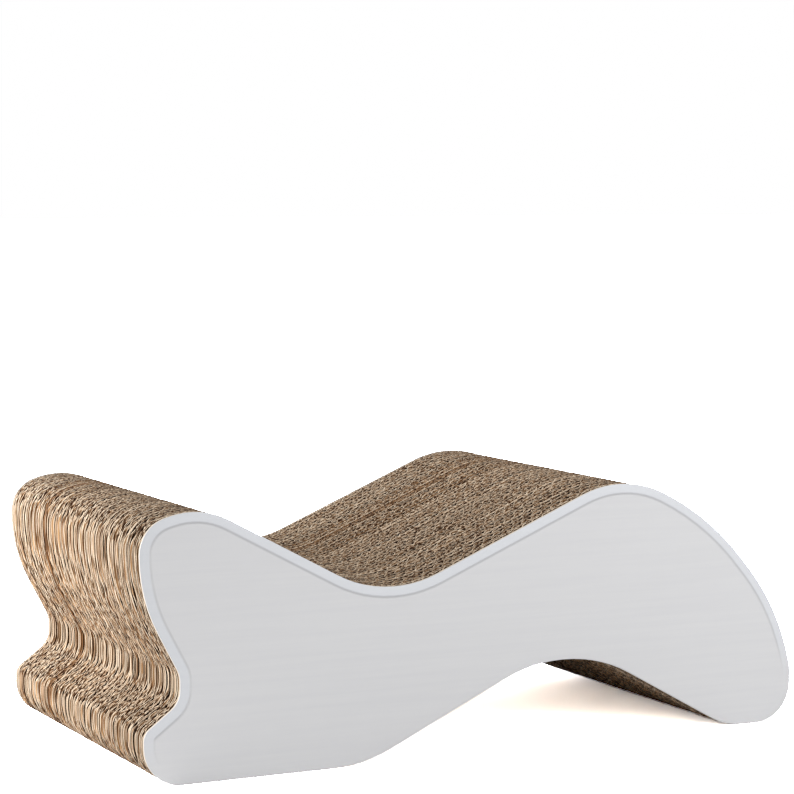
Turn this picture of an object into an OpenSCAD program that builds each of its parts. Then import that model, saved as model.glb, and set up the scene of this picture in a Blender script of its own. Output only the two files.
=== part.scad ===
// Cardboard cat scratcher in the form of a lounge: corrugated boards cut to one outline, glued
// face to face across the width, with a white creased side panel glued on each side.
// Millimetres, +Z up, length along X, width along Y, origin at the middle of the footprint.

/* [Stack of boards] */
// Number of corrugated boards between the side panels
board_count = 40; // [24:1:56]
// Thickness of one double-wall corrugated board
board_t = 7.2; // [4:0.1:8]

/* [Side panels] */
// Thickness of each side panel
panel_t = 3; // [2:0.1:6]
// Distance from a panel's edge to its crease
crease_inset = 7; // [4:0.5:12]
// Width of the crease
crease_w = 1.2; // [0.6:0.1:2.4]
// Depth of the crease
crease_d = 0.6; // [0.2:0.1:1.2]
// Height above the floor where the crease ends at the head
crease_head_end = 12; // [6:1:24]
// Height above the floor where the crease ends at the foot
crease_foot_end = 37; // [20:1:60]

/* [Outline heights] */
// Highest point of the hump
hump_h = 200; // [180:1:230]
// Highest point of the head rest
headrest_h = 198; // [180:0.5:230]
// Lowest point of the seat between them
seat_h = 133; // [115:1:150]
// Highest point of the arch under the seat
arch_h = 66; // [45:0.5:85]

/* [Outline lengths] */
// Length from end to end
body_l = 560; // [500:5:640]
// How far the waist is cut in at the head end
waist_in = 30.5; // [20:0.5:42]
// How far the base stands back from the head end
base_back = 2.2; // [0:0.2:8]

/* [Outline rounds] */
// Round at the head end of the base
base_r = 29; // [20:1:34]
// Round of the shoulder over the base
shoulder_r = 10.5; // [6:0.5:16]
// Rounds at the deepest part of the waist
waist_r = 18; // [8:0.5:28]
// Round of the flank between the waist and the head rest
flank_r = 122; // [90:1:160]
// Round at the outer side of the head rest
headrest_side_r = 27; // [16:1:32]
// Round on top of the head rest
headrest_top_r = 61; // [40:1:80]
// Round of the seat
seat_r = 97; // [70:1:140]
// Round on top of the hump
hump_r = 87; // [60:1:110]
// Round of the back below the hump
back_r = 229; // [180:1:260]
// Round of the foot end
end_r = 178; // [120:1:200]
// Round under the foot end
toe_r = 31; // [22:0.5:38]
// Round where the foot meets the arch
foot_r = 58; // [40:1:90]
// Round at the top of the arch
arch_r = 122; // [80:1:150]
// Round where the arch meets the base
heel_r = 115; // [80:1:160]

/* [Hidden] */
// How far a cut runs past the face that it opens
overrun = 1;
// How far the flat steps of a round may stand off the true round
round_sag = 0.1;
// Smallest round left where the outline is drawn further in
least_r = 0.5;
// Most of an edge that the rounds at its two ends may take
rounded_share = 0.98;
// Heights of the corners between the named levels, as shares of the hump or the head rest
shoulder_share = 0.199;
waist_shares = [0.305, 0.404];
flank_share = 0.695;
headrest_side_share = 0.956;
back_share = 0.851;
end_share = 0.457;
toe_share = 0.216;
// Places of the corners along the length, as shares of it
headrest_x_shares = [0.057, 0.1];
seat_x_shares = [0.317, 0.396];
hump_x_shares = [0.682, 0.751];
back_x_share = 0.861;
end_x_share = 0.981;
foot_x_share = 0.891;
arch_x_shares = [0.679, 0.573];
heel_x_share = 0.317;
// Corners of the part of the side panels that stays uncreased, as shares of the length
uncreased_x_shares = [0.1, 0.27, 0.84, 0.92];
// Height of that part over the arch, as a share of the way from the arch to the seat
uncreased_share = 0.5;

stack_w = board_count * board_t;
body_w = stack_w + 2 * panel_t;

function board_name(i) = str("board_", i < 10 ? "0" : "", i);
BOARDS = [for (i = [1:board_count]) board_name(i)];

// Corners of the side view before they are rounded, clockwise from the head end of the base,
// each as [along, up, round]
CORNERS = [
    [base_back, 0, base_r],
    [base_back, shoulder_share * headrest_h, shoulder_r],
    [waist_in, waist_shares[0] * headrest_h, waist_r],
    [waist_in, waist_shares[1] * headrest_h, waist_r],
    [0, flank_share * headrest_h, flank_r],
    [0, headrest_side_share * headrest_h, headrest_side_r],
    [headrest_x_shares[0] * body_l, headrest_h, headrest_top_r],
    [headrest_x_shares[1] * body_l, headrest_h, headrest_top_r],
    [seat_x_shares[0] * body_l, seat_h, seat_r],
    [seat_x_shares[1] * body_l, seat_h, seat_r],
    [hump_x_shares[0] * body_l, hump_h, hump_r],
    [hump_x_shares[1] * body_l, hump_h, hump_r],
    [back_x_share * body_l, back_share * hump_h, back_r],
    [end_x_share * body_l, end_share * hump_h, end_r],
    [body_l, toe_share * hump_h, toe_r],
    [body_l, 0, toe_r],
    [foot_x_share * body_l, 0, foot_r],
    [arch_x_shares[0] * body_l, arch_h, arch_r],
    [arch_x_shares[1] * body_l, arch_h, arch_r],
    [heel_x_share * body_l, 0, heel_r],
];

// Next and previous places in a closed list
function after(list, i) = list[(i + 1) % len(list)];
function before(list, i) = list[(i + len(list) - 1) % len(list)];
function flat(p) = [p[0], p[1]];
function unit(v) = v / norm(v);
// The direction to the right of v, which is into the board on this clockwise outline
function inward(v) = [v[1], -v[0]];
// Signed angle from one direction to the next, positive to the left
function turn_of(a, b) = atan2(a[0] * b[1] - a[1] * b[0], a * b);
// A direction turned by a signed angle
function turned(v, a) = [v[0] * cos(a) - v[1] * sin(a), v[0] * sin(a) + v[1] * cos(a)];

// The corners moved in from every edge by one distance, with their rounds kept concentric
function inset_corners(inset) = [
    for (i = [0:len(CORNERS) - 1])
        let (
            p = flat(CORNERS[i]),
            u = unit(p - flat(before(CORNERS, i))),
            v = unit(flat(after(CORNERS, i)) - p),
            side = turn_of(u, v) > 0 ? 1 : -1,
            q = p + inset * (inward(u) + inward(v)) / (1 + u * v)
        )
        [q[0], q[1], max(CORNERS[i][2] + side * inset, least_r)]
];

// How much of the edge before and after it a corner's full round would take
function reach_of(list, i) =
    let (p = flat(list[i]), u = p - flat(before(list, i)), v = flat(after(list, i)) - p)
    list[i][2] * tan(abs(turn_of(u, v)) / 2);

// A corner's round as [start, end, centre, radius, turn], shortened where its edges are too short
function round_of(list, reaches, i) =
    let (
        p = flat(list[i]),
        u = p - flat(before(list, i)),
        v = flat(after(list, i)) - p,
        turn = turn_of(u, v),
        room_before = norm(u) / (reaches[i] + before(reaches, i)),
        room_after = norm(v) / (reaches[i] + after(reaches, i)),
        fit = min(1, rounded_share * room_before, rounded_share * room_after),
        start = p - fit * reaches[i] * unit(u),
        end = p + fit * reaches[i] * unit(v),
        r = fit * list[i][2],
        side = turn > 0 ? -1 : 1
    )
    [start, end, start + side * r * inward(unit(u)), r, turn];

// Points along a round, close enough that no step stands off the arc by more than the sag
function arc_points(rnd) =
    let (
        step = 2 * acos(1 - min(round_sag, rnd[3]) / rnd[3]),
        steps = ceil(abs(rnd[4]) / step),
        arm = rnd[0] - rnd[2]
    )
    [for (k = [0:steps]) let (a = rnd[4] * k / steps) rnd[2] + turned(arm, a)];

// Plate of a thickness in the shape of the side view, drawn further in by the inset
module plate(t, inset = 0) {
    corners = inset_corners(inset);
    places = [0:len(corners) - 1];
    reaches = [for (i = places) reach_of(corners, i)];
    linear_extrude(t) polygon([for (i = places) each arc_points(round_of(corners, reaches, i))]);
}

// Lower part of the side view, over the base, the arch and the foot, where there is no crease
module uncreased_part(t) {
    top = arch_h + uncreased_share * (seat_h - arch_h);
    linear_extrude(t) polygon([
        [crease_head_end, -overrun],
        [crease_head_end, crease_head_end],
        [uncreased_x_shares[0] * body_l, crease_head_end],
        [uncreased_x_shares[1] * body_l, top],
        [uncreased_x_shares[2] * body_l, top],
        [uncreased_x_shares[3] * body_l, crease_foot_end],
        [body_l + overrun, crease_foot_end],
        [body_l + overrun, -overrun],
    ]);
}

// Ring cut from a panel to press its crease, which follows the edge over both ends and the top
module crease_cut(t) {
    difference() {
        plate(t, crease_inset);
        translate([0, 0, -overrun]) plate(t + 2 * overrun, crease_inset + crease_w);
        translate([0, 0, -overrun]) uncreased_part(t + 2 * overrun);
    }
}

// Stands a plate up from lying flat, its rear face at y
module upright(y) {
    translate([-body_l / 2, y, 0]) rotate([90, 0, 0]) children();
}

// One board of the stack, counted from the front
module board(i) {
    color("burlywood") upright(i * board_t - stack_w / 2) plate(board_t);
}

module front_side_panel() {
    front = -body_w / 2;
    color("white") difference() {
        upright(front + panel_t) plate(panel_t);
        upright(front + crease_d) crease_cut(crease_d + overrun);
    }
}

module rear_side_panel() {
    rear = body_w / 2;
    color("white") difference() {
        upright(rear) plate(panel_t);
        upright(rear + overrun) crease_cut(crease_d + overrun);
    }
}

front_side_panel();
for (i = [1:board_count]) board(i);
rear_side_panel();
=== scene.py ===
import math
import random

import bpy
import numpy as np
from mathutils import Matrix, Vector


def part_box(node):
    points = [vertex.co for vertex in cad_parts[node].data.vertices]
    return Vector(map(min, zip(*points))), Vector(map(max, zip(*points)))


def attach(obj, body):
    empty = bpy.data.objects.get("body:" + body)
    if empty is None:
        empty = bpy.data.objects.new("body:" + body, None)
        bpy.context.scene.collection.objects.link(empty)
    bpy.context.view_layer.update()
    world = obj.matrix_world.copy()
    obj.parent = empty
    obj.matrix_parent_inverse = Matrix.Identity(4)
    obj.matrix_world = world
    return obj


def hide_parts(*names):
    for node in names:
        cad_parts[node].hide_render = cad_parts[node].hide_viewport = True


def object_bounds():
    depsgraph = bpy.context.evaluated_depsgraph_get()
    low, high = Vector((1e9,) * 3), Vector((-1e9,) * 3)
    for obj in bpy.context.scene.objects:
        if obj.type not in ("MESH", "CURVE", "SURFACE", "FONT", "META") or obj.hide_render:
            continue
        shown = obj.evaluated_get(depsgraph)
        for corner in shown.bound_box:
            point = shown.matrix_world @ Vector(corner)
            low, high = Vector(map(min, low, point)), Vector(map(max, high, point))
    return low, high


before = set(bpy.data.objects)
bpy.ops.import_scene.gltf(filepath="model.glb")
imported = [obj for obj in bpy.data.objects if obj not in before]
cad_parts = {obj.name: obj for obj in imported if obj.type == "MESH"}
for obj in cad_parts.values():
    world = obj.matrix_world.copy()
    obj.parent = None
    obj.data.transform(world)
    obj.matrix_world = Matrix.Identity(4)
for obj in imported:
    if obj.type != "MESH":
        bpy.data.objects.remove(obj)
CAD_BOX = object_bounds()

bl_info = {
    "name": "Cardboard Cat Scratcher",
    "version": (1, 0, 0),
    "blender": (4, 5, 0),
    "location": "View3D > Sidebar > Scratcher",
    "description": "Builds a lounge-shaped scratcher from corrugated boards and two side panels",
    "category": "Object",
}

MM = 0.001

BODY = "root"
BOARDS = sorted(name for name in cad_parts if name.startswith("board_"))
FRONT_PANEL = "front_side_panel"
REAR_PANEL = "rear_side_panel"

LOW, HIGH = CAD_BOX
BODY_LENGTH = HIGH.x - LOW.x
BODY_HEIGHT = HIGH.z - LOW.z
STACK_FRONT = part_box(BOARDS[0])[0].y
STACK_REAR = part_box(BOARDS[-1])[1].y
BOARD_THICKNESS = (STACK_REAR - STACK_FRONT) / len(BOARDS)

PAPER_SEED = 41
SEAM_SEED = 7
# How far a paper stands past the outline before it is cut
TRIM = 5 * MM
# Place of the cut edge's material among the materials of a piece
CUT_EDGE = 1

# Scales of the patterns along x, y and z, per metre
FIBRE_SCALE = (900, 900, 160)
CLOUD_SCALE = (60, 300, 25)
DASH_SCALE = (440, 700, 35)
STREAK_SCALE = (9, 9, 260)
SPECK_SCALE = (700, 700, 700)
CORE_SCALE = (60, 1600, 60)

WHITE = (1.0, 1.0, 1.0)
# Darkest shades that the patterns multiply a surface by
FIBRE_SHADE = (0.93, 0.92, 0.90)
CLOUD_SHADE = (0.92, 0.91, 0.90)
DASH_SHADE = (0.36, 0.265, 0.18)
STREAK_SHADE = (0.975, 0.975, 0.98)
CORE_SHADE = (0.86, 0.84, 0.82)


def length(name, default, description):
    """A size in metres, shown in the scene's own units."""
    return bpy.props.FloatProperty(
        name=name, description=description, default=default, unit="LENGTH", precision=5
    )


def share(name, default, description):
    """A share from 0 to 1."""
    return bpy.props.FloatProperty(
        name=name, description=description, default=default, min=0, max=1, subtype="FACTOR"
    )


def colour(name, default, description):
    """A colour in linear red, green and blue."""
    return bpy.props.FloatVectorProperty(
        name=name, description=description, default=default, size=3, min=0, max=1, subtype="COLOR"
    )


class BoardSettings(bpy.types.PropertyGroup):
    """Sizes and colours of the corrugated boards."""

    liner_thickness: length("Liner", 0.7 * MM, "Width of each flat paper's frayed cut edge")
    coarse_thickness: length(
        "Coarse fluting", 0.85 * MM, "Width of the coarse wavy paper's frayed cut edge"
    )
    fine_thickness: length(
        "Fine fluting", 0.6 * MM, "Width of the fine wavy paper's frayed cut edge"
    )
    coarse_pitch: length("Coarse flute", 8.6 * MM, "Length of one wave of the thicker layer")
    fine_pitch: length("Fine flute", 6.4 * MM, "Length of one wave of the thinner layer")
    coarse_share: share(
        "Coarse share", 0.7, "Share of a board's thickness that the coarse layer takes"
    )
    seam_wander: length("Seam wander", 0.45 * MM, "How far the glued seams stray from straight")
    seam_gap: length("Seam gap", 0.7 * MM, "Widest gap where two boards aren't pressed together")
    edge_play: length(
        "Edge play", 0.35 * MM, "How far one paper's cut edge stands behind another's"
    )
    pale_kraft: colour("Pale kraft", (0.98, 0.825, 0.645), "The palest papers")
    tan_kraft: colour("Tan kraft", (0.83, 0.635, 0.45), "The commonest papers")
    orange_kraft: colour("Orange kraft", (0.75, 0.505, 0.315), "The warmest papers")
    grey_kraft: colour("Grey kraft", (0.66, 0.53, 0.39), "The greyest papers")
    deep_shade: colour(
        "Deep shade", (0.05, 0.026, 0.010), "How dark a flat paper's face is in a flute"
    )
    face_shade: colour(
        "Face shade", (0.68, 0.48, 0.30), "How dark a wavy paper's face is beside its edge"
    )
    # Painted shade: a few papers' cut edges, and the first board's front liner behind the front
    # panel, are darkened for the shade in the gaps beside them
    painted_edge_shade: colour(
        "Glue shade", (0.36, 0.22, 0.12), "How dark a paper's cut edge is where glue soaked it"
    )
    # Painted shade: share of the papers whose cut edge is darkened
    shaded_edge_share: share("Glued share", 0.06, "Share of the papers with a dark, glue-soaked edge")
    well_shade: share(
        "Well shade", 0.4, "How much darker the papers' faces are where the flutes open up or down"
    )


class PanelSettings(bpy.types.PropertyGroup):
    """Sizes and colours of the side panels."""

    crease_inset: length("Crease inset", 6.5 * MM, "Distance from the panel's edge to its crease")
    crease_width: length("Crease width", 2.2 * MM, "Width of the crease")
    crease_depth: length("Crease depth", 0.3 * MM, "Depth of the crease")
    border_drop: length("Border drop", 0.5 * MM, "How far the border slopes back to the edge")
    edge_round: length("Edge round", 0.7 * MM, "Round along the front edge")
    laminate: colour(
        "Laminate", (0.735, 0.735, 0.745), "White face of the panels inside the crease"
    )
    # Lighter and bluer than the laminate inside: bluer as the border's own tint, lighter as
    # painted light that evens out the shade of its sloping face
    border: colour("Border", (0.75, 0.765, 0.795), "White face of the panels outside the crease")
    crease_shade: colour(
        "Crease shade", (0.68, 0.68, 0.69), "How dark the laminate is down in the crease"
    )
    core: colour("Core", (0.80, 0.70, 0.58), "Cut edge of the panels")


class StageSettings(bpy.types.PropertyGroup):
    """Camera, lamps, floor and background."""

    camera_place: bpy.props.FloatVectorProperty(
        name="Camera", description="Where the camera stands", default=(-0.9380, -1.8814, 0.4322),
        subtype="TRANSLATION", unit="LENGTH",
    )
    camera_turn: bpy.props.FloatProperty(
        name="Turn", description="Turn of the camera from looking along Y towards X",
        default=math.radians(26.435), subtype="ANGLE",
    )
    camera_tilt: bpy.props.FloatProperty(
        name="Tilt", description="Tilt of the camera below the horizon",
        default=math.radians(4.637), subtype="ANGLE",
    )
    focal_length: bpy.props.FloatProperty(
        name="Focal length", description="Focal length in millimetres", default=118.6
    )
    world_strength: bpy.props.FloatProperty(
        name="Room light", description="Strength of the light from all round", default=0.56
    )
    key_power: bpy.props.FloatProperty(
        name="Key light", description="Power of the soft light beyond the head end",
        default=4.75, unit="POWER",
    )
    fill_power: bpy.props.FloatProperty(
        name="Fill light", description="Power of the soft light in front",
        default=5.7, unit="POWER",
    )
    floor_whiteness: bpy.props.FloatProperty(
        name="Floor", description="How much light the floor gives back to the camera", default=22
    )
    floor_colour: colour(
        "Floor colour", (0.90, 0.95, 1.0), "A cool white, against the warm light from the boards"
    )


def select_only(obj):
    """Makes an object the only selected and active one."""
    if bpy.context.object and bpy.context.object.mode != "OBJECT":
        bpy.ops.object.mode_set(mode="OBJECT")
    bpy.ops.object.select_all(action="DESELECT")
    obj.select_set(True)
    bpy.context.view_layer.objects.active = obj


def apply_modifier(obj, kind, **values):
    """Adds a modifier, sets it and applies it."""
    select_only(obj)
    modifier = obj.modifiers.new(kind.lower(), kind)
    for key, value in values.items():
        setattr(modifier, key, value)
    bpy.ops.object.modifier_apply(modifier=modifier.name)


def rename(obj, name):
    """Names an object and its data."""
    obj.name = obj.data.name = name
    return obj


def join(objects, name):
    """Joins objects into one with a new name."""
    select_only(objects[0])
    for obj in objects:
        obj.select_set(True)
    bpy.ops.object.join()
    return rename(bpy.context.object, name)


def read_all(items, name, width=1, kind=float):
    """A value of every item, or a row of values of every item where width is more than 1."""
    values = np.empty(len(items) * width, dtype=kind)
    items.foreach_get(name, values)
    return values if width == 1 else values.reshape(-1, width)


def points_of(mesh):
    """A mesh's points as rows of x, y and z."""
    return read_all(mesh.vertices, "co", width=3)


def set_points(mesh, points):
    """Moves a mesh's points to rows of x, y and z."""
    mesh.vertices.foreach_set("co", points.ravel())
    mesh.update()


def nearest(points, wanted):
    """For each wanted place, the number of the point that lies nearest to it."""
    return np.linalg.norm(points[None] - wanted[:, None], axis=2).argmin(axis=1)


def select_face(mesh, index):
    """Selects one face of a mesh and nothing else."""
    for parts in (mesh.vertices, mesh.edges, mesh.polygons):
        parts.foreach_set("select", [False] * len(parts))
    mesh.polygons[index].select = True


def set_attribute(mesh, name, values):
    """Stores one number for every point."""
    stored = mesh.attributes.new(name, "FLOAT", "POINT")
    stored.data.foreach_set("value", np.asarray(values, dtype=np.float32))


def plate_of(node, name, shortest=0.001 * MM):
    """A copy of a CAD plate: two outlines as single faces, with no edge under the shortest."""
    flat_enough = math.radians(0.2)
    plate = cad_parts[node].copy()
    plate.data = plate.data.copy()
    rename(plate, name)
    plate.data.materials.clear()
    plate.parent = None
    plate.hide_render = plate.hide_viewport = False
    for key in [key for key in plate.keys() if key.startswith("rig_")]:
        del plate[key]
    bpy.context.scene.collection.objects.link(plate)
    select_only(plate)
    bpy.ops.object.mode_set(mode="EDIT")
    bpy.ops.mesh.select_all(action="SELECT")
    bpy.ops.mesh.remove_doubles(threshold=shortest)
    bpy.ops.mesh.dissolve_limited(angle_limit=flat_enough)
    bpy.ops.object.mode_set(mode="OBJECT")
    return plate


def new_material(name):
    """An empty material with a shader, and its nodes, links and shader."""
    material = bpy.data.materials.new(name)
    material.use_nodes = True
    nodes, links = material.node_tree.nodes, material.node_tree.links
    return material, nodes, links, nodes["Principled BSDF"]


def noise(nodes, links, scale, detail, roughness=0.55):
    """A noise pattern over the object, with its own scale along x, y and z."""
    coordinates = nodes.new("ShaderNodeTexCoord")
    mapping = nodes.new("ShaderNodeMapping")
    mapping.inputs["Scale"].default_value = scale
    links.new(coordinates.outputs["Object"], mapping.inputs["Vector"])
    texture = nodes.new("ShaderNodeTexNoise")
    texture.inputs["Scale"].default_value = 1
    texture.inputs["Detail"].default_value = detail
    texture.inputs["Roughness"].default_value = roughness
    links.new(mapping.outputs["Vector"], texture.inputs["Vector"])
    return texture.outputs["Fac"]


def attribute(nodes, name):
    """A number stored on the mesh."""
    node = nodes.new("ShaderNodeAttribute")
    node.attribute_name = name
    return node.outputs["Fac"]


def multiply(nodes, links, first, second, factor=1.0):
    """Multiplies two colours, each a socket or a plain colour, by a factor's strength."""
    mix = nodes.new("ShaderNodeMix")
    mix.data_type = "RGBA"
    mix.blend_type = "MULTIPLY"
    sockets = (mix.inputs["Factor"], mix.inputs[6], mix.inputs[7])
    for socket, value in zip(sockets, (factor, first, second)):
        if isinstance(value, bpy.types.NodeSocket):
            links.new(value, socket)
        else:
            socket.default_value = value if isinstance(value, float) else (*value, 1)
    return mix.outputs[2]


def ramp(nodes, links, factor, *stops):
    """A colour ramp through stops of place and colour."""
    node = nodes.new("ShaderNodeValToRGB")
    elements = node.color_ramp.elements
    while len(elements) < len(stops):
        elements.new(1)
    for element, (place, shade) in zip(elements, stops):
        element.position = place
        element.color = (*shade, 1)
    links.new(factor, node.inputs["Fac"])
    return node.outputs["Color"]


def add_bump(nodes, links, shader, height, strength, distance):
    """Lets a pattern stand out of the surface."""
    bump = nodes.new("ShaderNodeBump")
    bump.inputs["Strength"].default_value = strength
    bump.inputs["Distance"].default_value = distance
    links.new(height, bump.inputs["Height"])
    links.new(bump.outputs["Normal"], shader.inputs["Normal"])


def mix_shaders(nodes, links, factor, first, second, result):
    """Mixes two shader nodes into a socket: the first at a factor of 0, the second at 1."""
    mix = nodes.new("ShaderNodeMixShader")
    links.new(factor, mix.inputs["Fac"])
    links.new(first.outputs[0], mix.inputs[1])
    links.new(second.outputs[0], mix.inputs[2])
    links.new(mix.outputs[0], result)


def kraft_material(settings, name, light, darkest, lightest):
    """Brown paper in its own tone, from darkest to lightest by the attribute that light names."""
    material, nodes, links, shader = new_material(name)
    shades = ramp(
        nodes, links, attribute(nodes, "paper_tone"),
        (0.0, settings.grey_kraft),
        (0.3, settings.tan_kraft),
        (0.55, settings.pale_kraft),
        (0.75, settings.tan_kraft),
        (1.0, settings.orange_kraft),
    )
    fibres = noise(nodes, links, FIBRE_SCALE, detail=3)
    clouds = noise(nodes, links, CLOUD_SCALE, detail=3)
    dashes = noise(nodes, links, DASH_SCALE, detail=1)
    fibre_shade = ramp(nodes, links, fibres, (0.3, FIBRE_SHADE), (0.7, WHITE))
    cloud_shade = ramp(nodes, links, clouds, (0.3, CLOUD_SHADE), (0.7, WHITE))
    dash_shade = ramp(nodes, links, dashes, (0.41, DASH_SHADE), (0.51, WHITE))
    # Painted shade: the dashes deepen where the flutes open up or down, for the shade down in the
    # flutes
    dash_shade = multiply(nodes, links, dash_shade, dash_shade, attribute(nodes, "open_flutes"))
    own_shade = ramp(nodes, links, attribute(nodes, light), (0.0, darkest), (1.0, lightest))
    for layer in (fibre_shade, cloud_shade, dash_shade, own_shade):
        shades = multiply(nodes, links, shades, layer)
    links.new(shades, shader.inputs["Base Color"])
    add_bump(nodes, links, shader, fibres, strength=0.25, distance=0.1 * MM)
    shader.inputs["Roughness"].default_value = 0.92
    shader.inputs["Specular IOR Level"].default_value = 0.25
    return material


class SeamMap:
    """How far each glued seam between boards strays and how wide it gapes, over the side view."""

    waves = 5
    # Most radians to the metre that a wave has along x and along z
    most_along = 40
    most_up = 60
    # Value of the field above which a seam gapes
    gap_start = 0.9

    def __init__(self, settings, seed):
        draw = random.Random(seed)
        self.settings = settings
        self.seams = [self.wave_set(draw) for _ in range(len(BOARDS) + 1)]
        self.gaps = [self.wave_set(draw) for _ in range(len(BOARDS) + 1)]

    def wave_set(self, draw):
        """Random waves, each as its radians to the metre along x, along z, and a phase."""
        along, up = self.most_along, self.most_up
        return [
            (draw.uniform(-along, along), draw.uniform(-up, up), draw.uniform(0, 2 * math.pi))
            for _ in range(self.waves)
        ]

    def field(self, waves, x, z):
        """Smooth random field of about -1 to 1."""
        heights = (np.sin(along * x + up * z + phase) for along, up, phase in waves)
        return sum(heights) / math.sqrt(self.waves)

    def seam(self, index, x, z):
        """How far seam number index lies from its straight place."""
        if index in (0, len(BOARDS)):
            return np.zeros_like(x)
        return self.settings.seam_wander * self.field(self.seams[index], x, z)

    def gap(self, index, x, z):
        """Half of the gap at seam number index."""
        if index in (0, len(BOARDS)):
            return np.zeros_like(x)
        opening = np.clip(self.field(self.gaps[index], x, z) - self.gap_start, 0, 1)
        return self.settings.seam_gap / 2 * opening


def flat_paper(name, front, rear):
    """One liner as a plain sheet that stands past the outline all round."""
    bpy.ops.object.select_all(action="DESELECT")
    bpy.ops.mesh.primitive_cube_add(
        size=1, location=(0, (front + rear) / 2, BODY_HEIGHT / 2),
        scale=(BODY_LENGTH + 2 * TRIM, rear - front, BODY_HEIGHT + 2 * TRIM),
    )
    bpy.ops.object.transform_apply()
    return rename(bpy.context.object, name)


def wavy_paper(name, front, rear, pitch, phase, thickness):
    """One fluting between two liners, with its waves upright, past the outline all round."""
    steps_per_wave = 14
    sharpness = 1.8
    waves = math.ceil(BODY_LENGTH / pitch) + 2
    bpy.ops.object.select_all(action="DESELECT")
    bpy.ops.mesh.primitive_grid_add(
        x_subdivisions=waves * steps_per_wave, y_subdivisions=1, size=1
    )
    sheet = bpy.context.object
    points = points_of(sheet.data)
    x = points[:, 0] * waves * pitch
    reach = (rear - front - thickness) / 2
    peak = ((1 + np.sin(2 * math.pi * x / pitch + phase)) / 2) ** sharpness
    y = (front + rear) / 2 + reach * (1 - 2 * peak)
    z = BODY_HEIGHT / 2 + points[:, 1] * (BODY_HEIGHT + 2 * TRIM)
    set_points(sheet.data, np.column_stack([x, y, z]))
    apply_modifier(sheet, "SOLIDIFY", thickness=thickness, offset=0)
    return rename(sheet, name)


def paper_places(mesh, board_front, layers):
    """For each point, the number of the paper that it belongs to, by its depth in the board."""
    depth = points_of(mesh)[:, 1] - board_front
    bounds = np.array([layer[1] for layer in layers[:-1]])
    return np.searchsorted(bounds, depth)


def open_flutes(mesh):
    """For each point on the cut rim, how far flutes open up, or down over the floor, 0 to 1."""
    up = read_all(mesh.polygons, "normal", width=3)[:, 2]
    cut = read_all(mesh.polygons, "material_index", kind=int) == CUT_EDGE
    corners = read_all(mesh.polygons, "loop_total", kind=int)
    points = read_all(mesh.loops, "vertex_index", kind=int)
    overhang = 0.6
    faces = np.where(up > 0, up, np.clip((-up - overhang) / (1 - overhang), 0, 1))
    opened = np.zeros(len(mesh.vertices))
    np.maximum.at(opened, points, np.repeat(np.where(cut, faces, 0), corners))
    return opened


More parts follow.
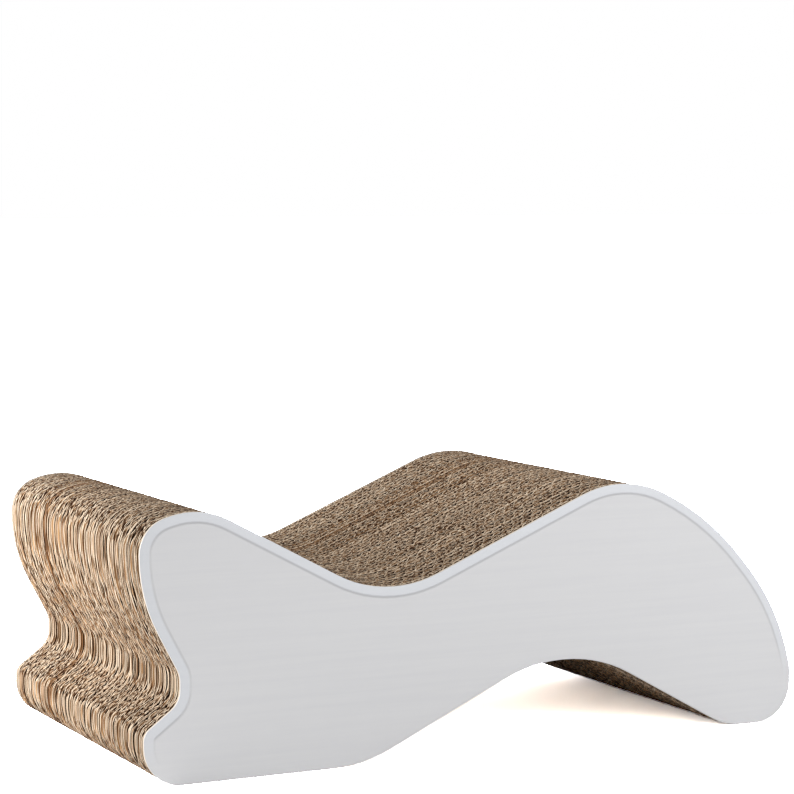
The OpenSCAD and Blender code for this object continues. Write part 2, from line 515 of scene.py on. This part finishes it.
class SCRATCHER_OT_boards(bpy.types.Operator):
    """Build every corrugated board from three liners and two flutings, cut to the outline"""

    bl_idname = "scratcher.boards"
    bl_label = "Corrugated boards"

    smooth_angle = math.radians(35)
    # Light on the faces of a board's five papers, liners and flutings in turn, from the front
    face_light = (0.3, 1.0, 0.0, 0.9, 0.08)
    # Light on the coarse fluting right behind the front panel
    light_behind_panel = 0.3
    tone_range = (0.22, 0.78)
    # How much faster the dashes deepen than the faces darken where flutes open up or down
    dash_gain = 1.5

    def execute(self, context):
        settings = context.scene.scratcher_boards
        draw = random.Random(PAPER_SEED)
        seams = SeamMap(settings, SEAM_SEED)
        paper = kraft_material(
            settings, "kraft_paper", "face_light", settings.deep_shade, settings.face_shade
        )
        cut = kraft_material(settings, "kraft_cut_edge", "edge_light", settings.painted_edge_shade, WHITE)
        cutter = self.make_cutter(cut)
        for number, node in enumerate(BOARDS):
            board = self.make_board(settings, draw, cutter, number, paper)
            self.bend_board(board, seams, number)
            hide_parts(node)
            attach(board, BODY)
        bpy.data.objects.remove(cutter)
        return {"FINISHED"}

    def make_cutter(self, material):
        """The outline as a solid with short steps along its rim, whose cuts get the material."""
        cutter = plate_of(BOARDS[0], "outline_cutter")
        cutter.data.materials.append(material)
        longest = 6 * MM
        rounds = 3
        bpy.ops.object.mode_set(mode="EDIT")
        for _ in range(rounds):
            bpy.ops.mesh.select_all(action="DESELECT")
            bpy.ops.object.mode_set(mode="OBJECT")
            ends = points_of(cutter.data)
            found = False
            for edge in cutter.data.edges:
                a, b = ends[edge.vertices[0]], ends[edge.vertices[1]]
                on_rim = abs(a[1] - b[1]) < MM
                edge.select = on_rim and float(np.linalg.norm(a - b)) > longest
                found = found or edge.select
            bpy.ops.object.mode_set(mode="EDIT")
            if found:
                bpy.ops.mesh.subdivide(number_cuts=1)
        bpy.ops.object.mode_set(mode="OBJECT")
        return cutter

    def move_cutter(self, cutter, front):
        """Sets the cutter's two sides one board before and one behind the board at front."""
        points = points_of(cutter.data)
        near_side = points[:, 1] < points[:, 1].mean()
        points[:, 1] = np.where(near_side, front - BOARD_THICKNESS, front + 2 * BOARD_THICKNESS)
        set_points(cutter.data, points)

    def layers_of(self, settings):
        """Front and rear of each of a board's five papers, from the board's front."""
        liner = settings.liner_thickness
        middle = settings.coarse_share * BOARD_THICKNESS
        clearance = 0.01 * MM
        return [
            (0, liner),
            (liner + clearance, middle - liner / 2 - clearance),
            (middle - liner / 2, middle + liner / 2),
            (middle + liner / 2 + clearance, BOARD_THICKNESS - liner - clearance),
            (BOARD_THICKNESS - liner, BOARD_THICKNESS),
        ]

    def make_paper(self, settings, draw, index, front, rear):
        """One of a board's five papers, uncut: a liner, the coarse fluting or the fine one."""
        if index % 2 == 0:
            return flat_paper("liner", front, rear)
        coarse = index == 1
        pitch = settings.coarse_pitch if coarse else settings.fine_pitch
        thickness = settings.coarse_thickness if coarse else settings.fine_thickness
        phase = draw.uniform(0, 2 * math.pi)
        return wavy_paper("fluting", front, rear, pitch, phase, thickness)

    def make_board(self, settings, draw, cutter, number, paper):
        """One board, flat and straight, at its place in the stack."""
        front = STACK_FRONT + number * BOARD_THICKNESS
        layers = self.layers_of(settings)
        papers = [
            self.make_paper(settings, draw, index, front + near, front + far)
            for index, (near, far) in enumerate(layers)
        ]
        board = join(papers, "corrugated_" + BOARDS[number])
        board.data.materials.append(paper)
        self.move_cutter(cutter, front)
        apply_modifier(
            board, "BOOLEAN", operation="INTERSECT", object=cutter, solver="MANIFOLD",
            material_mode="TRANSFER",
        )
        place = paper_places(board.data, front, layers)
        self.tint_papers(board.data, settings, draw, place, number)
        self.shift_papers(board.data, settings, draw, place)
        bpy.ops.object.shade_smooth_by_angle(angle=self.smooth_angle)
        return board

    def tint_papers(self, mesh, settings, draw, place, number):
        """Gives every paper its tone, the light on its faces and cut edge, and its open flutes."""
        count = len(self.face_light)
        tones = np.array([draw.uniform(*self.tone_range) for _ in range(count)])
        # Painted shade: a few papers get a darkened cut edge, for the shade in the gaps between
        # boards
        glued = np.array([draw.random() < settings.shaded_edge_share for _ in range(count)])
        face_light = np.array(self.face_light)
        # Painted shade from the front panel: the first board's front liner gets a darkened cut
        # edge, and its coarse fluting less light
        if number == 0:
            glued[0] = True
            face_light[1] = self.light_behind_panel
        opened = open_flutes(mesh)
        set_attribute(mesh, "paper_tone", tones[place])
        # Painted shade: faces darken, and dashes deepen, where the flutes open up or down
        set_attribute(mesh, "face_light", face_light[place] * (1 - settings.well_shade * opened))
        set_attribute(mesh, "open_flutes", np.clip(self.dash_gain * opened, 0, 1))
        set_attribute(mesh, "edge_light", np.where(glued, 0.0, 1.0)[place])

    def shift_papers(self, mesh, settings, draw, place):
        """Shrinks the board a little, to stay within the outline, and shifts each paper."""
        play = settings.edge_play
        shifts = np.array([
            (draw.uniform(-play, play), 0, draw.uniform(0, play)) for _ in self.face_light
        ])
        points = points_of(mesh)
        points[:, 0] *= 1 - 3 * play / BODY_LENGTH
        points[:, 2] *= 1 - 2 * play / BODY_HEIGHT
        set_points(mesh, points + shifts[place])

    def bend_board(self, board, seams, number):
        """Bends a board between its two seams."""
        points = points_of(board.data)
        x, z = points[:, 0], points[:, 2]
        front = STACK_FRONT + number * BOARD_THICKNESS
        share_across = (points[:, 1] - front) / BOARD_THICKNESS
        near = front + seams.seam(number, x, z) + seams.gap(number, x, z)
        far = front + BOARD_THICKNESS + seams.seam(number + 1, x, z) - seams.gap(number + 1, x, z)
        points[:, 1] = near + share_across * (far - near)
        set_points(board.data, points)


def laminate_material(settings):
    """Smooth white laminate with a faint brushed mottling."""
    material, nodes, links, shader = new_material("white_laminate")
    streaks = noise(nodes, links, STREAK_SCALE, detail=5, roughness=0.6)
    specks = noise(nodes, links, SPECK_SCALE, detail=2)
    # The border's lighter colour is partly painted light
    face = ramp(
        nodes, links, attribute(nodes, "outside_crease"),
        (0.0, settings.laminate), (1.0, settings.border),
    )
    streak_shade = ramp(nodes, links, streaks, (0.35, STREAK_SHADE), (0.65, WHITE))
    # Painted shade down in the crease, by the attribute that the rings set
    crease = ramp(
        nodes, links, attribute(nodes, "pressed"), (0.0, WHITE), (1.0, settings.crease_shade)
    )
    shade = multiply(nodes, links, multiply(nodes, links, face, streak_shade), crease)
    links.new(shade, shader.inputs["Base Color"])
    roughness = nodes.new("ShaderNodeMapRange")
    roughness.inputs["To Min"].default_value = 0.32
    roughness.inputs["To Max"].default_value = 0.44
    links.new(streaks, roughness.inputs["Value"])
    links.new(roughness.outputs["Result"], shader.inputs["Roughness"])
    add_bump(nodes, links, shader, specks, strength=0.08, distance=0.05 * MM)
    shader.inputs["Specular IOR Level"].default_value = 0.4
    return material


def core_material(settings):
    """Cut edge of a panel: pale card with fine layers."""
    material, nodes, links, shader = new_material("panel_cut_edge")
    layers = noise(nodes, links, CORE_SCALE, detail=2)
    layer_shade = ramp(nodes, links, layers, (0.35, CORE_SHADE), (0.6, WHITE))
    shade = multiply(nodes, links, settings.core, layer_shade)
    links.new(shade, shader.inputs["Base Color"])
    shader.inputs["Roughness"].default_value = 0.8
    return material


class SCRATCHER_OT_side_panels(bpy.types.Operator):
    """Build the two white side panels with their sloped border and pressed crease"""

    bl_idname = "scratcher.side_panels"
    bl_label = "Side panels"

    smooth_angle = math.radians(50)
    # Most that a face on the cut edge looks to the front or the rear
    rim_tilt = 0.3
    # Upper limit of the part without a crease, in millimetres from the head end and up
    uncreased_top = ((56, 12), (150, 100), (470, 100), (515, 37))
    # Height over which the crease fades out there
    fade_height = 30 * MM
    # Share of the crease's shade that is left where it runs upright
    upright_share = 0.25

    def execute(self, context):
        settings = context.scene.scratcher_panels
        laminate = laminate_material(settings)
        core = core_material(settings)
        front = self.make_front_panel(settings, laminate, core)
        rear = self.make_rear_panel(front)
        for panel, node in ((front, FRONT_PANEL), (rear, REAR_PANEL)):
            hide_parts(node)
            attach(panel, BODY)
        return {"FINISHED"}

    def make_front_panel(self, settings, laminate, core):
        """The front panel: the outline inset ring by ring, each ring at its distance and depth."""
        panel = plate_of(BOARDS[0], "white_" + FRONT_PANEL, shortest=0.5 * MM)
        points = points_of(panel.data)
        points[:, 1] = np.where(points[:, 1] < points[:, 1].mean(), LOW.y, STACK_FRONT)
        set_points(panel.data, points)
        panel.data.materials.append(laminate)
        panel.data.materials.append(core)
        self.inset_rings(panel.data, settings)
        for face in panel.data.polygons:
            face.material_index = CUT_EDGE if abs(face.normal.y) < self.rim_tilt else 0
        select_only(panel)
        bpy.ops.object.shade_smooth_by_angle(angle=self.smooth_angle)
        apply_modifier(panel, "WEIGHTED_NORMAL", keep_sharp=True)
        return panel

    def ring_profile(self, settings):
        """Each ring's distance from the outline, depth, further depth where creased, and shade."""
        drop, rounding = settings.border_drop, settings.edge_round
        border, crease = settings.crease_inset, settings.crease_width
        lip = 0.2 * MM
        slope = drop / (border - lip)
        bevel = 0.3 * rounding
        rim_depth, rim_shade = 0.2 * settings.crease_depth, 0.3
        return [
            (0, rounding, drop, 0),
            (bevel, bevel, drop - slope * bevel, 0),
            (rounding, 0, drop - slope * rounding, 0),
            (border - lip, 0, 0, 0),
            (border, 0, rim_depth, rim_shade),
            (border + crease / 2, 0, settings.crease_depth, 1),
            (border + crease, 0, rim_depth, rim_shade),
            (border + crease + lip, 0, 0, 0),
        ]

    def inset_rings(self, mesh, settings):
        """Insets the front face once for each ring and puts its points where the profile says."""
        tiny = 0.01 * MM
        crease_middle = settings.crease_inset + settings.crease_width / 2
        front = min(mesh.polygons, key=lambda face: face.normal.y * face.area)
        ring = list(front.vertices)
        outline = points_of(mesh)[ring]
        inward = self.inward_steps(outline)
        creased = self.fade(outline)
        shown = self.upright_share + (1 - self.upright_share) * np.abs(inward[:, 2])
        select_face(mesh, front.index)
        rings = []
        for distance, depth, crease_depth, shade in self.ring_profile(settings):
            if rings:
                bpy.ops.object.mode_set(mode="EDIT")
                bpy.ops.mesh.select_mode(type="FACE")
                bpy.ops.mesh.inset(thickness=tiny, use_even_offset=False)
                bpy.ops.object.mode_set(mode="OBJECT")
                ring = self.matched_ring(mesh, placed)
            placed = outline + distance * inward
            placed[:, 1] = LOW.y + depth + creased * crease_depth
            points = points_of(mesh)
            points[ring] = placed
            set_points(mesh, points)
            # Painted shade for the crease, strongest where it runs level, and the share of the
            # border outside the crease
            rings.append((placed, creased * shown * shade, creased * (distance < crease_middle)))
        points = points_of(mesh)
        pressed, outside = np.zeros(len(points)), np.zeros(len(points))
        for placed, crease_shade_share, share_outside in rings:
            places = nearest(points, placed)
            pressed[places] = crease_shade_share
            outside[places] = share_outside
        set_attribute(mesh, "pressed", pressed)
        set_attribute(mesh, "outside_crease", outside)

    def inward_steps(self, outline):
        """For each point of the outline, the step that moves both of its edges in by 1."""
        ahead = np.roll(outline, -1, axis=0) - outline
        ahead /= np.linalg.norm(ahead, axis=1)[:, None]
        normals = np.cross((0, -1, 0), ahead)
        before = np.roll(normals, 1, axis=0)
        return (normals + before) / (1 + np.sum(normals * before, axis=1))[:, None]

    def matched_ring(self, mesh, placed):
        """The selected face's points, in the order of the ring that they were inset from."""
        inner = next(face for face in mesh.polygons if face.select)
        numbers = np.array(inner.vertices)
        return numbers[nearest(points_of(mesh)[numbers], placed)]

    def fade(self, points):
        """1 along the ends and the top, 0 over the base, the arch and the foot."""
        places, heights = np.array(self.uncreased_top).T * MM
        top = np.interp(points[:, 0], places + LOW.x, heights)
        return np.clip((points[:, 2] - top) / self.fade_height, 0, 1)

    def make_rear_panel(self, front):
        """The rear panel: the front one mirrored to the other side."""
        rear = front.copy()
        rear.data = front.data.copy()
        rename(rear, "white_" + REAR_PANEL)
        bpy.context.scene.collection.objects.link(rear)
        points = points_of(rear.data)
        points[:, 1] *= -1
        set_points(rear.data, points)
        rear.data.flip_normals()
        return rear


class SCRATCHER_OT_stage(bpy.types.Operator):
    """Set the camera, the lamps, the floor and the white background"""

    bl_idname = "scratcher.stage"
    bl_label = "Stage"

    # Width of the camera's sensor in millimetres, and the nearest distance that it sees
    sensor_width = 36
    nearest_seen = 0.01
    # Each lamp's place, the point that it looks at, and the length of its sides
    key_lamp = ((-0.74, 0.30, 0.3), (-0.25, 0, 0.1), 0.3)
    fill_lamp = ((0.5, -1.0, 0.8), (0.1, 0, 0.1), 0.8)
    floor_size = 60
    floor_drop = 0.2 * MM
    # The floor's whiteness far off, and the distances between which it changes to that
    far_whiteness = 30
    near_distance = 0.6
    far_distance = 12

    def execute(self, context):
        settings = context.scene.scratcher_stage
        context.scene.view_settings.view_transform = "Standard"
        self.add_camera(context, settings)
        self.add_world(context, settings)
        self.add_floor(settings)
        self.add_lamp("key_light", *self.key_lamp, settings.key_power)
        self.add_lamp("fill_light", *self.fill_lamp, settings.fill_power)
        return {"FINISHED"}

    def add_camera(self, context, settings):
        """The camera at the photograph's place and angle."""
        bpy.ops.object.select_all(action="DESELECT")
        turn = (math.pi / 2 - settings.camera_tilt, 0, -settings.camera_turn)
        bpy.ops.object.camera_add(location=settings.camera_place, rotation=turn)
        camera = bpy.context.object
        camera.data.lens = settings.focal_length
        camera.data.sensor_width = self.sensor_width
        camera.data.clip_start = self.nearest_seen
        context.scene.camera = camera

    def add_world(self, context, settings):
        """White to the camera and in reflections, and a dimmer even light on the object."""
        world = bpy.data.worlds.new("studio")
        context.scene.world = world
        world.use_nodes = True
        nodes, links = world.node_tree.nodes, world.node_tree.links
        nodes.clear()
        light, white = nodes.new("ShaderNodeBackground"), nodes.new("ShaderNodeBackground")
        for background, strength in ((light, settings.world_strength), (white, 1)):
            background.inputs["Color"].default_value = (*WHITE, 1)
            background.inputs["Strength"].default_value = strength
        path = nodes.new("ShaderNodeLightPath")
        seen = path.outputs["Is Camera Ray"]
        for kind in ("Is Glossy Ray", "Is Transmission Ray"):
            either = nodes.new("ShaderNodeMath")
            either.operation = "MAXIMUM"
            links.new(seen, either.inputs[0])
            links.new(path.outputs[kind], either.inputs[1])
            seen = either.outputs[0]
        output = nodes.new("ShaderNodeOutputWorld")
        mix_shaders(nodes, links, seen, light, white, output.inputs["Surface"])

    def add_floor(self, settings):
        """A pale floor that reads white to the camera and keeps the object's shadow."""
        bpy.ops.object.select_all(action="DESELECT")
        bpy.ops.mesh.primitive_plane_add(size=self.floor_size, location=(0, 0, -self.floor_drop))
        floor = rename(bpy.context.object, "floor")
        material, nodes, links, shader = new_material("pale_floor")
        nodes.remove(shader)
        given, shown = nodes.new("ShaderNodeBsdfDiffuse"), nodes.new("ShaderNodeBsdfDiffuse")
        given.inputs["Color"].default_value = (0.9, 0.9, 0.9, 1)
        links.new(self.shown_colour(nodes, links, settings), shown.inputs["Color"])
        seen = nodes.new("ShaderNodeLightPath").outputs["Is Camera Ray"]
        surface = nodes["Material Output"].inputs["Surface"]
        mix_shaders(nodes, links, seen, given, shown, surface)
        floor.data.materials.append(material)

    def shown_colour(self, nodes, links, settings):
        """The floor's colour to the camera, brighter away from the object, where lamps are far."""
        coordinates = nodes.new("ShaderNodeTexCoord")
        distance = nodes.new("ShaderNodeVectorMath")
        distance.operation = "LENGTH"
        links.new(coordinates.outputs["Object"], distance.inputs[0])
        whiteness = nodes.new("ShaderNodeMapRange")
        whiteness.inputs["From Min"].default_value = self.near_distance
        whiteness.inputs["From Max"].default_value = self.far_distance
        whiteness.inputs["To Min"].default_value = settings.floor_whiteness
        whiteness.inputs["To Max"].default_value = self.far_whiteness
        links.new(distance.outputs["Value"], whiteness.inputs["Value"])
        cool = nodes.new("ShaderNodeVectorMath")
        cool.operation = "SCALE"
        cool.inputs["Vector"].default_value = settings.floor_colour
        links.new(whiteness.outputs["Result"], cool.inputs["Scale"])
        return cool.outputs["Vector"]

    def add_lamp(self, name, place, target, size, power):
        """A square soft light that looks at a point."""
        bpy.ops.object.select_all(action="DESELECT")
        bpy.ops.object.light_add(type="AREA", location=place)
        lamp = rename(bpy.context.object, name)
        lamp.data.size = size
        lamp.data.energy = power
        lamp.visible_camera = False
        aim = Vector([there - here for there, here in zip(target, lamp.location)])
        lamp.rotation_euler = aim.to_track_quat("-Z", "Y").to_euler()


class SCRATCHER_PT_sidebar(bpy.types.Panel):
    """Lists the scratcher's pieces and their sizes"""

    bl_idname = "SCRATCHER_PT_sidebar"
    bl_label = "Cardboard Cat Scratcher"
    bl_space_type = "VIEW_3D"
    bl_region_type = "UI"
    bl_category = "Scratcher"

    def draw(self, context):
        for operator, group in PIECES:
            self.layout.operator(operator.bl_idname)
            settings = getattr(context.scene, group)
            for name in settings.__annotations__:
                self.layout.prop(settings, name)


PIECES = (
    (SCRATCHER_OT_boards, "scratcher_boards"),
    (SCRATCHER_OT_side_panels, "scratcher_panels"),
    (SCRATCHER_OT_stage, "scratcher_stage"),
)
CLASSES = (
    BoardSettings,
    PanelSettings,
    StageSettings,
    SCRATCHER_OT_boards,
    SCRATCHER_OT_side_panels,
    SCRATCHER_OT_stage,
    SCRATCHER_PT_sidebar,
)


def register():
    """Registers the classes and the settings that they read."""
    for item in CLASSES:
        bpy.utils.register_class(item)
    bpy.types.Scene.scratcher_boards = bpy.props.PointerProperty(type=BoardSettings)
    bpy.types.Scene.scratcher_panels = bpy.props.PointerProperty(type=PanelSettings)
    bpy.types.Scene.scratcher_stage = bpy.props.PointerProperty(type=StageSettings)


def unregister():
    """Takes back what register did."""
    del bpy.types.Scene.scratcher_boards
    del bpy.types.Scene.scratcher_panels
    del bpy.types.Scene.scratcher_stage
    for item in reversed(CLASSES):
        bpy.utils.unregister_class(item)


def main():
    """Builds the object and the stage."""
    register()
    bpy.ops.scratcher.boards()
    bpy.ops.scratcher.side_panels()
    bpy.ops.scratcher.stage()


if __name__ == "__main__":
    main()
